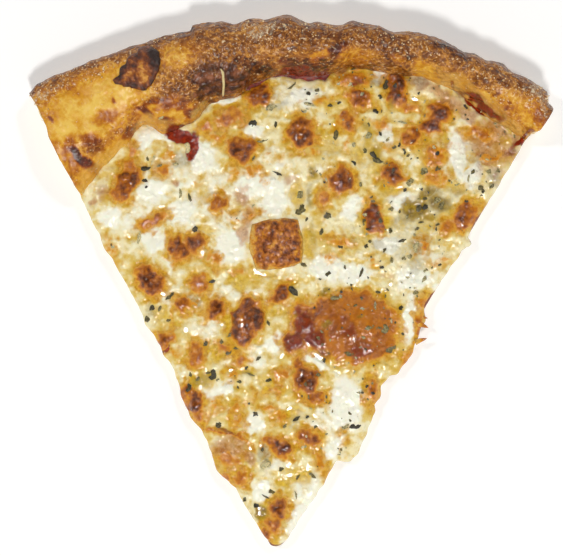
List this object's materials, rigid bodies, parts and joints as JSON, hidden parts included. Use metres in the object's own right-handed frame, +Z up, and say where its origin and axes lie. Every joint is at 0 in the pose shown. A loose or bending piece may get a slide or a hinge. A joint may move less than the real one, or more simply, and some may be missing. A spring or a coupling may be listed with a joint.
{
  "type": "cheese pizza slice",
  "caption": "Wedge of baked cheese pizza: puffed rim, thin dough base, tomato sauce, blistered melted cheese with dried herbs, and a burnt flake on the rim.",
  "frame": {"origin": "under the middle of the slice's box, on the surface that it lies on", "axes": "+Z up, +Y from the point of the slice towards the rim, +X to the right with the rim at the far side"},
  "size_m": [0.177, 0.1806, 0.0214],
  "materials": {
    "crust": "baked dough, golden to dark brown, dry and grainy",
    "sauce": "dark red cooked tomato, wet",
    "cheese": "melted cheese, cream white with golden and brown blisters, oily",
    "browned_cheese": "baked brown, finely pitted, oily",
    "burnt_dough": "burnt, ridged, slightly glossy"
  },
  "bodies": {
    "root": {"crust": "crust", "sauce": "sauce", "cheese": "cheese", "cheese_lump": "browned_cheese", "burnt_flake": "burnt_dough"}
  },
  "joints": []
}
